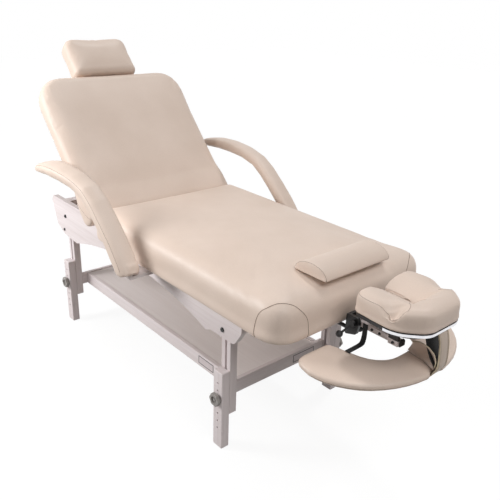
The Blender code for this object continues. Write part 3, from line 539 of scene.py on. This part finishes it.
seat = cushion("seat_upholstery", "seat_cushion", "frame", 0.009, 0.010, seat_free, smooth=16)
for word, side in SIDES:
    x = SEAT[1].x
    y = side * SEAT[1].y
    inward = -side
    arch = [
        (x - 0.108, y, SEAT[0].z + 0.006),
        (x - 0.114, y, SEAT[0].z + 0.045),
        (x - 0.106, y, SEAT[0].z + 0.090),
        (x - 0.082, y, SEAT[0].z + 0.128),
        (x - 0.054, y + inward * 0.040, SEAT[1].z - 0.012),
        (x - 0.026, y + inward * 0.088, SEAT[1].z - 0.026),
        (x - 0.004, y + inward * 0.122, SEAT[0].z + 0.100),
        (x, y + inward * 0.138, SEAT[0].z + 0.060),
        (x, y + inward * 0.136, SEAT[0].z + 0.006),
    ]
    seam("corner_patch_seam_" + word, seat, arch, "frame")

# Back and headrest
HINGE = Vector(JOINTS["back_lift"]["pos_m"])
TIP = Matrix.Translation(HINGE) @ Matrix.Rotation(BACK_ANGLE, 4, "Y")
UNTIP = np.array(TIP.inverted())


def lying(points):
    """Points in the back's own frame: X along it, Z through it."""
    return points @ UNTIP[:3, :3].T + UNTIP[:3, 3]


BACK_DECK = lying(points_of(NODES["back_deck"].data))
BACK_DECK = (BACK_DECK.min(0), BACK_DECK.max(0))
BACK_TOP = lying(points_of(NODES["back_cushion"].data))[:, 0].min()


def back_free(points):
    local = lying(points)
    below = (BACK_DECK[0] - np.array((0.0, 0.0, 0.1)), BACK_DECK[1])
    loose = outside_box(local, *below, 0.006)
    loose *= ease(-0.02, -0.12, local[:, 0]) * ease(-0.060, -0.030, local[:, 2])
    return loose * ease(BACK_TOP + 0.004, BACK_TOP + 0.080, local[:, 0])


def head_free(points):
    """Holds the headrest's lower end, next to the back."""
    return ease(BACK_TOP - 0.006, BACK_TOP - 0.050, lying(points)[:, 0])


def back_form(points):
    """Keeps the lower side ends as full as the solid, where the remeshing draws them in."""
    local = lying(points)
    full = ease(-0.13, -0.03, local[:, 0]) * ease(0.300, 0.350, np.abs(local[:, 1]))
    away = np.stack((points[:, 0] - HINGE.x, np.zeros(len(points)), points[:, 2] - HINGE.z), axis=1)
    made = points + away * (0.10 * full)[:, None]
    made[:, 1] *= 1.0 + 0.012 * full
    return made


back = cushion("back_upholstery", "back_cushion", "back", 0.008, 0.009, back_free, back_form, sink=0.40)
BACK_SIDE = ((-0.980, 0.746), (-0.939, 0.728), (-0.903, 0.712), (-0.868, 0.698), (-0.838, 0.690))
BACK_SIDE_Y = 0.383
for word, side in SIDES:
    line = [at(x, side * BACK_SIDE_Y, z) for x, z in BACK_SIDE]
    seam("back_side_seam_" + word, back, line, "back", size=0.5)
cushion("headrest_upholstery", "headrest_cushion", "headrest", 0.006, 0.006, head_free, sink=0.50)

# Arms, each with a sewn edge between its top and its outer side, as (x, out from the inner side, z)
ARM_EDGE = (
    (-1.125, 0.094, 0.878), (-1.096, 0.097, 0.894), (-1.008, 0.099, 0.909), (-0.900, 0.099, 0.912),
    (-0.792, 0.099, 0.904), (-0.695, 0.099, 0.880), (-0.628, 0.099, 0.840), (-0.560, 0.099, 0.783),
    (-0.500, 0.099, 0.730), (-0.451, 0.099, 0.677), (-0.416, 0.098, 0.629),
)
ARM_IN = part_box("arm_pad_right")[0].y


def arm_form(points):
    """Draws the outer side in towards the arm's lower end."""
    made = points.copy()
    out = np.abs(points[:, 1]) - ARM_IN
    drawn = 0.14 * ease(-0.98 + SHIFT, -0.70 + SHIFT, points[:, 0])
    made[:, 1] = np.sign(points[:, 1]) * (ARM_IN + out * (1.0 - drawn))
    return made


for word, side in SIDES:
    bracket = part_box("arm_bracket_" + word)
    pad = cushion(
        "arm_upholstery_" + word, "arm_pad_" + word, "arm_" + word, 0.006, 0.004,
        lambda p, b=bracket: outside_box(p, b[0], b[1], 0.006), arm_form, smooth=10,
    )
    edge = [at(x, side * (ARM_IN + out), z) for x, out, z in ARM_EDGE]
    seam("arm_edge_seam_" + word, pad, edge, "arm_" + word, size=0.55)

# Bolster
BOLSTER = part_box("bolster")
bolster = cushion(
    "bolster_upholstery", "bolster", "bolster", 0.005, 0.004,
    lambda p: ease(BOLSTER[0].z + 0.002, BOLSTER[0].z + 0.016, p[:, 2]), smooth=4,
)
middle = (BOLSTER[0] + BOLSTER[1]) / 2
reach = (BOLSTER[1].x - BOLSTER[0].x) / 2
foot = BOLSTER[0].z + 0.006
rise = BOLSTER[1].z - BOLSTER[0].z - 0.006
for word, y in (("left", BOLSTER[0].y + 0.003), ("right", BOLSTER[1].y - 0.003)):
    arch = []
    for number in range(15):
        angle = math.pi * number / 14
        arch.append((middle.x + reach * math.cos(angle), y, foot + rise * math.sin(angle)))
    seam("bolster_seam_" + word, bolster, arch, "bolster", size=0.55)

# Face cradle cushion: the lobes' heel, the valley's and crown's places along it, and distances from
# its middle line of the slot, the solid's opening, the lobes' ridge and the reach of their slope
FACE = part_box("cradle_cushion")
HEEL = FACE[0].x
VALLEY = 0.554 + SHIFT
CROWN = 0.572 + SHIFT
SLOT = 0.006
OPENING = 0.045
RIDGE = 0.086
SLOPE_END = 0.092
HEEL_ROUND = 0.036


def soft_top(values, soft):
    """The part of the values over zero, with a rounded start."""
    return 0.5 * (values + np.sqrt(values * values + soft * soft))


def face_form(points):
    """Cheek lobes that slope down to a narrow slot, a straight crown roll, and a valley between them."""
    made = points.copy()
    side = np.sign(points[:, 1])
    across = np.abs(points[:, 1])
    short = np.clip(0.081 - across, 0.0, HEEL_ROUND - 0.0005)
    filled = HEEL_ROUND - np.sqrt(HEEL_ROUND ** 2 - short ** 2)
    made[:, 0] -= 0.7 * filled * (1.0 - ease(HEEL + 0.036, HEEL + 0.080, points[:, 0]))
    lobe = 1.0 - ease(CROWN - 0.048, CROWN - 0.006, points[:, 0])
    drawn = SLOT + (SLOPE_END - SLOT) * (across - OPENING) / (SLOPE_END - OPENING)
    across = np.where(across < SLOPE_END, across + (drawn - across) * lobe, across)
    made[:, 1] = side * across
    cheek = FACE[1].z - 0.54 * soft_top(RIDGE - across, 0.008)
    crown = FACE[1].z - 1.15 * soft_top(CROWN - points[:, 0], 0.006)
    roof = np.maximum(cheek, crown) + 0.002
    made[:, 2] -= soft_top(points[:, 2] - roof, 0.003)
    along = points[:, 0] - VALLEY
    width = np.where(along < 0.0, 0.036, 0.017)
    slope = ease(0.082, 0.136, across) * np.exp(-((along / width) ** 2))
    high = ease(FACE[0].z + 0.026, FACE[1].z - 0.006, points[:, 2])
    pleat = 0.0016 * np.sin((points[:, 0] * 0.75 + across * 0.65) * 2 * math.pi / 0.017)
    made[:, 2] -= (0.034 + pleat) * slope * high
    return made


face = cushion(
    "cradle_upholstery", "cradle_cushion", "face_pad", 0.005, 0.005,
    lambda p: ease(FACE[0].z + 0.002, FACE[0].z + 0.02, p[:, 2]), face_form, smooth=8,
)
SCALLOP = (
    (0.409, 0.130, 0.772), (0.424, 0.141, 0.771), (0.442, 0.146, 0.770), (0.464, 0.147, 0.769),
    (0.486, 0.147, 0.770), (0.503, 0.147, 0.771), (0.518, 0.147, 0.768), (0.533, 0.146, 0.762),
    (0.546, 0.145, 0.757), (0.558, 0.143, 0.756), (0.570, 0.136, 0.759), (0.577, 0.125, 0.765),
    (0.582, 0.111, 0.771),
)
TUCK = (
    (0.583, 0.112, 0.771), (0.580, 0.100, 0.776), (0.574, 0.090, 0.780), (0.566, 0.081, 0.783),
    (0.558, 0.074, 0.780),
)
for word, side in SIDES:
    for tag, line in (("scallop", SCALLOP), ("tuck", TUCK)):
        line = [at(x, side * y, z) for x, y, z in line]
        seam("cradle_" + tag + "_seam_" + word, face, line, "face_pad", size=0.5)

# Arm sling
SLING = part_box("sling_pad")
SLING_MID = (SLING[0].z + SLING[1].z) / 2


def sling_form(points):
    """The dent that the loop pulls into the pad's front edge."""
    made = points.copy()
    dent = np.exp(-((points[:, 1] / 0.027) ** 4)) * ease(0.590 + SHIFT, 0.645 + SHIFT, points[:, 0])
    made[:, 0] -= 0.011 * dent
    made[:, 2] = SLING_MID + (points[:, 2] - SLING_MID) * (1.0 - 0.30 * dent) + 0.005 * dent
    return made


sling = cushion(
    "sling_upholstery", "sling_pad", "sling", 0.005, 0.003,
    lambda p: np.full(len(p), 1.0), sling_form, smooth=5,
)
edge = []
for number in range(25):
    angle = math.pi * (number / 24 - 0.5) * 0.97
    edge.append(at(0.400 + 0.250 * math.cos(angle), 0.320 * math.sin(angle), SLING_MID - 0.005))
seam("sling_edge_seam", sling, edge, "sling", size=0.6)


# Straps
STRAP_STEP = 0.006


def strap(name, points, face, size, look, node=None, let_out=None):
    """A flat band of the given (width, thickness) on the sling.

    With let_out given, the band is baked where it is built and not attached to the sling; the two
    heights in let_out are not read.
    """
    path = resample(points, STRAP_STEP)
    item = sweep(name, path, [Vector(face)] * len(path), rounded_bar(*size), look)
    if node:
        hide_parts(node)
    if let_out:
        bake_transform(item)
    else:
        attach(item, "sling")


STRAP_RUN = (0.632, 0.582)
LOOP_RUN = (0.690, 0.600)


for word, side in SIDES:
    low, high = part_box("sling_strap_" + word)
    x = (low.x + high.x) / 2
    inner, outer = sorted((low.y, high.y), key=abs)
    path = [
        (x, inner + side * 0.001, high.z),
        (x, inner + side * 0.001, low.z + 0.034),
        (x, inner + side * 0.003, low.z + 0.022),
        (x, inner + side * 0.007, low.z + 0.010),
        (x, inner + side * 0.019, low.z + 0.0038),
        (x, outer, low.z + 0.0018),
    ]
    strap(
        "sling_webbing_" + word, path, (0, side, 0.2), (0.020, 0.0018),
        WEBBING, "sling_strap_" + word, STRAP_RUN,
    )

# Loop at the sling's front: covered strap, bound edges, and a black woven band set behind it
low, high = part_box("sling_front_loop")
LOOP_WIDE = 0.047
LOOP_FACE = (1, 0, -0.3)
path = [
    at(0.6370, 0, high.z - 0.0006), at(0.6465, 0, 0.6670), at(0.6515, 0, 0.6300), at(0.6530, 0, 0.5950),
    at(0.6500, 0, 0.5740), at(0.6420, 0, 0.5590), at(0.6375, 0, 0.5500), at(0.6310, 0, 0.5420),
    at(0.6210, 0, 0.5365), at(0.6050, 0, low.z + 0.0020), at(0.5850, 0, low.z + 0.0015),
]
strap(
    "sling_loop", path, LOOP_FACE, (LOOP_WIDE, 0.003),
    STRAP_VINYL, "sling_front_loop", LOOP_RUN,
)
for word, side in SIDES:
    edge = [(x, side * (LOOP_WIDE / 2 - 0.0006), z) for x, y, z in path]
    strap(
        "sling_loop_binding_" + word, edge, LOOP_FACE, (0.0016, 0.0042),
        BINDING, let_out=LOOP_RUN,
    )
    edge = [(x + 0.0014, side * (LOOP_WIDE / 2 - 0.006), z) for x, y, z in path[:7]]
    strap(
        "sling_loop_stitch_" + word, edge, LOOP_FACE, (0.0009, 0.0008),
        SEAM, let_out=LOOP_RUN,
    )
# A black woven band behind the loop, seen between the flap and the loop's near edge.
black_band = [
    at(0.590, 0.012, 0.690), at(0.598, 0.012, 0.655), at(0.608, 0.012, 0.625),
    at(0.622, 0.012, 0.598), at(0.640, 0.012, 0.574),
]
strap(
    "sling_loop_black_band", black_band, (1, 0, 0.4), (0.066, 0.0016),
    WEBBING, let_out=LOOP_RUN,
)

# Curled flap of the loop's cover, sewn to the pad along its foot: (x, y) of the foot and top points
FLAP = (
    ((0.5176, 0.0165), (0.5500, -0.0120, 0.6208)), ((0.5331, 0.0144), (0.5676, -0.0180, 0.6320)),
    ((0.5528, 0.0110), (0.5843, -0.0220, 0.6376)), ((0.5703, 0.0079), (0.6019, -0.0240, 0.6379)),
    ((0.5834, 0.0061), (0.6154, -0.0240, 0.6343)), ((0.6011, -0.0003), (0.6277, -0.0240, 0.6276)),
    ((0.6130, -0.0060), (0.6369, -0.0240, 0.6196)), ((0.6214, -0.0109), (0.6440, -0.0240, 0.6045)),
    ((0.6310, -0.0155), (0.6450, -0.0235, 0.5925)), ((0.6370, -0.0185), (0.6430, -0.0225, 0.5785)),
)
form = bmesh.new()
rows = []
for foot, top in FLAP:
    start = at(foot[0], foot[1], SLING[1].z + 0.0020)
    end = at(*top)
    bend = (start + end) / 2 + Vector((-0.006, 0.024, -0.004))
    row = []
    for number in range(11):
        t = number / 10
        row.append(form.verts.new(start * (1 - t) ** 2 + bend * (2 * t * (1 - t)) + end * t * t))
    rows.append(row)
join_rows(form, rows, around=False)
bmesh.ops.recalc_face_normals(form, faces=form.faces)
flap = from_form("sling_flap", form, VINYL)
thick = flap.modifiers.new("thick", "SOLIDIFY")
thick.thickness = 0.0022
thick.offset = 0.0
fine = flap.modifiers.new("fine", "SUBSURF")
fine.levels = 2
fine.render_levels = 2
settle(flap)
flap.data.shade_smooth()
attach(flap, "sling")
top_line = [at(*top) for foot, top in FLAP]
strap("sling_flap_binding", top_line, (0, 1, 0.2), (0.0034, 0.0034), BINDING)
foot_line = [at(foot[0] + 0.002, foot[1] - 0.004, SLING[1].z + 0.0012) for foot, top in FLAP]
strap("sling_flap_stitch", foot_line, (0, 0, 1), (0.0014, 0.0010), SEAM)

# Dark underside of the cradle's platform, a half oval set in from its bright band
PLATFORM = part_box("cradle_platform")
form = bmesh.new()
rings = []
for inset, z in ((0.000, PLATFORM[1].z - 0.0062), (0.000, 0.6845), (0.004, 0.6795), (0.012, 0.6775)):
    ring = []
    for number in range(33):
        angle = math.pi * (number / 32 - 0.5)
        along = 0.545 + (0.087 - inset) * math.cos(angle)
        ring.append(form.verts.new(at(along, (0.118 - inset) * math.sin(angle), z)))
    rings.append(ring)
join_rows(form, rings)
form.faces.new(rings[0])
form.faces.new(rings[-1][::-1])
bmesh.ops.recalc_face_normals(form, faces=form.faces)
underside = from_form("platform_underside", form, BLACK)
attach(underside, "cradle")


# Bolts in the cradle's slat bars and in the side rails: (share of the radius, height) from the middle
BOLT_PROFILE = (
    (0.0, 0.0026), (0.45, 0.0026), (0.50, 0.0040), (0.62, 0.0048),
    (0.82, 0.0040), (0.96, 0.0020), (1.0, 0.0), (1.0, -0.001),
)


def bolt(name, place, outward, radius, body):
    """A domed bolt head with a six-lobed socket."""
    form = bmesh.new()
    rows = []
    for reach, out in BOLT_PROFILE:
        ring = []
        for number in range(24):
            angle = 2 * math.pi * number / 24
            wide = radius * reach
            if 0 < reach <= 0.5:
                wide *= 0.90 + 0.10 * math.cos(6 * angle)
            ring.append(form.verts.new((wide * math.cos(angle), wide * math.sin(angle), out)))
        rows.append(ring)
    join_rows(form, rows)
    bmesh.ops.remove_doubles(form, verts=form.verts, dist=1e-6)
    bmesh.ops.recalc_face_normals(form, faces=form.faces)
    turn = Vector(outward).to_track_quat("Z", "Y").to_matrix().to_4x4()
    bmesh.ops.transform(form, matrix=Matrix.Translation(place) @ turn, verts=form.verts)
    item = from_form(name, form, BOLT)
    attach(item, body)


BAR_MID = 0.628
BAR_BOLTS = (("a", 0.434, 0.0660, 0.0045), ("b", 0.464, 0.0660, 0.0045), ("c", 0.522, 0.0765, 0.0050))
RAIL_BOLTS = (
    ("rear_upper", -1.261, 0.573, 0.0095),
    ("rear_lower", -1.283, 0.499, 0.0075),
    ("front", -0.018, 0.507, 0.0095),
)
for word, side in SIDES:
    for spot, x, y, radius in BAR_BOLTS:
        place = at(x, side * y, BAR_MID)
        bolt("bar_bolt_" + spot + "_" + word, place, (0, side, 0), radius, "cradle")
for word, side in SIDES:
    face_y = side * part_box("side_rail_right")[1].y
    for spot, x, z, radius in RAIL_BOLTS:
        place = at(x, face_y, z)
        bolt("rail_bolt_" + spot + "_" + word, place, (0, side, 0), radius, "frame")


# Bare plates on two shelf rails: a dark border round an empty field
PLATE_HEIGHT = 0.034
PLATE_RIM = 0.0028


def slab(name, spans, middle, axes, thick, look):
    """Flat boxes on a surface; spans are (u0, u1, v0, v1) along the first two axes."""
    along, up, out = axes
    form = bmesh.new()
    for u0, u1, v0, v1 in spans:
        corners = [(u0, v0), (u1, v0), (u1, v1), (u0, v1)]
        lower = [form.verts.new(middle + along * u + up * v - out * 0.0002) for u, v in corners]
        upper = [form.verts.new(middle + along * u + up * v + out * thick) for u, v in corners]
        form.faces.new(upper)
        form.faces.new(lower[::-1])
        join_rows(form, [lower, upper])
    bmesh.ops.recalc_face_normals(form, faces=form.faces)
    item = from_form(name, form, look)
    item.data.shade_flat()
    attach(item, "frame")


def bare_plate(name, middle, along, out, length):
    middle = Vector(middle)
    axes = (Vector(along), Vector((0, 0, 1)), Vector(out))
    a = length / 2
    b = PLATE_HEIGHT / 2
    c = a - PLATE_RIM
    d = b - PLATE_RIM
    border = [(-a, a, d, b), (-a, a, -b, -d), (-a, -c, -d, d), (c, a, -d, d)]
    slab(name + "_border", border, middle, axes, 0.0005, INK)
    slab(name + "_field", [(-c, c, -d, d)], middle, axes, 0.0003, PLATE)


low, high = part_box("shelf_rail_left")
spot = (-0.225 + SHIFT, low.y, (low.z + high.z) / 2 + 0.002)
bare_plate("rail_plate", spot, (1, 0, 0), (0, -1, 0), 0.098)
low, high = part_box("shelf_end_rail_front")
spot = (high.x, 0.135, (low.z + high.z) / 2 + 0.002)
bare_plate("end_plate", spot, (0, 1, 0), (1, 0, 0), 0.120)

# Stage, light and camera: what the camera and reflections see is white, and lights nothing
AMBIENT = 0.14
FLOOR_GLOW = 0.905
FLOOR_HALF = 14.0
world = bpy.data.worlds.new("studio")
bpy.context.scene.world = world
world.use_nodes = True
tree = world.node_tree
rays = tree.nodes.new("ShaderNodeLightPath")


def seen_rays(tree, rays):
    first = tree.nodes.new("ShaderNodeMath")
    first.operation = "MAXIMUM"
    tree.links.new(rays.outputs["Is Camera Ray"], first.inputs[0])
    tree.links.new(rays.outputs["Is Glossy Ray"], first.inputs[1])
    second = tree.nodes.new("ShaderNodeMath")
    second.operation = "MAXIMUM"
    tree.links.new(first.outputs["Value"], second.inputs[0])
    tree.links.new(rays.outputs["Is Transmission Ray"], second.inputs[1])
    return second.outputs["Value"]


level = tree.nodes.new("ShaderNodeMapRange")
level.inputs["To Min"].default_value = AMBIENT
level.inputs["To Max"].default_value = 1.0
tree.links.new(seen_rays(tree, rays), level.inputs["Value"])
tree.nodes["Background"].inputs["Color"].default_value = (1.0, 1.0, 1.0, 1.0)
tree.links.new(level.outputs["Result"], tree.nodes["Background"].inputs["Strength"])

form = bmesh.new()
floor_place = Matrix.Translation((0, 0, -0.0005))
bmesh.ops.create_grid(form, x_segments=1, y_segments=1, size=FLOOR_HALF, matrix=floor_place)
floor_look = bpy.data.materials.new("pale_floor")
floor_look.use_nodes = True
tree = floor_look.node_tree
tree.nodes.clear()
out = tree.nodes.new("ShaderNodeOutputMaterial")
matt = tree.nodes.new("ShaderNodeBsdfDiffuse")
matt.inputs["Color"].default_value = (0.32, 0.30, 0.28, 1.0)
faint = tree.nodes.new("ShaderNodeBsdfDiffuse")
faint.inputs["Color"].default_value = (0.12, 0.12, 0.12, 1.0)
glow = tree.nodes.new("ShaderNodeEmission")
glow.inputs["Strength"].default_value = FLOOR_GLOW
both_shown = tree.nodes.new("ShaderNodeAddShader")
tree.links.new(glow.outputs["Emission"], both_shown.inputs[0])
tree.links.new(faint.outputs["BSDF"], both_shown.inputs[1])
choice = tree.nodes.new("ShaderNodeMixShader")
tree.links.new(seen_rays(tree, tree.nodes.new("ShaderNodeLightPath")), choice.inputs["Fac"])
tree.links.new(matt.outputs["BSDF"], choice.inputs[1])
tree.links.new(both_shown.outputs["Shader"], choice.inputs[2])
tree.links.new(choice.outputs["Shader"], out.inputs["Surface"])
from_form("floor", form, floor_look)


def lamp(name, place, target, size, power):
    light = bpy.data.lights.new(name, "AREA")
    light.shape = "DISK"
    light.size = size
    light.energy = power
    item = bpy.data.objects.new(name, light)
    bpy.context.scene.collection.objects.link(item)
    item.location = place
    item.rotation_euler = (Vector(target) - Vector(place)).to_track_quat("-Z", "Y").to_euler()


def far_lamp(name, toward, power, spread_deg):
    light = bpy.data.lights.new(name, "SUN")
    light.energy = power
    light.angle = math.radians(spread_deg)
    item = bpy.data.objects.new(name, light)
    bpy.context.scene.collection.objects.link(item)
    item.rotation_euler = Vector(toward).to_track_quat("Z", "Y").to_euler()


lamp("near_side", at(-2.0, -2.1, 1.60), at(-0.45, 0.0, 0.50), 1.1, 47.0)
far_lamp("side", (-0.72, -0.62, 0.32), 0.60, 18.0)
far_lamp("top", (-0.12, 0.42, 0.90), 0.80, 8.0)
far_lamp("front", (0.60, -0.10, 0.79), 1.55, 40.0)

EYE = at(1.441, -1.4735, 1.585)
turn = math.radians(48.75)
down = math.radians(22.49)
roll = math.radians(1.87)
ahead = Vector((-math.sin(turn) * math.cos(down), math.cos(turn) * math.cos(down), -math.sin(down)))
level_right = Vector((math.cos(turn), math.sin(turn), 0.0))
level_up = level_right.cross(ahead)
right = level_right * math.cos(roll) + level_up * math.sin(roll)
up = level_up * math.cos(roll) - level_right * math.sin(roll)
lens = bpy.data.cameras.new("camera")
lens.lens = 43.76
lens.sensor_width = 36.0
camera = bpy.data.objects.new("camera", lens)
bpy.context.scene.collection.objects.link(camera)
place = Matrix((right, up, -ahead)).transposed().to_4x4()
place.translation = EYE
camera.matrix_world = place
bpy.context.scene.camera = camera
bpy.context.scene.view_settings.view_transform = "Standard"
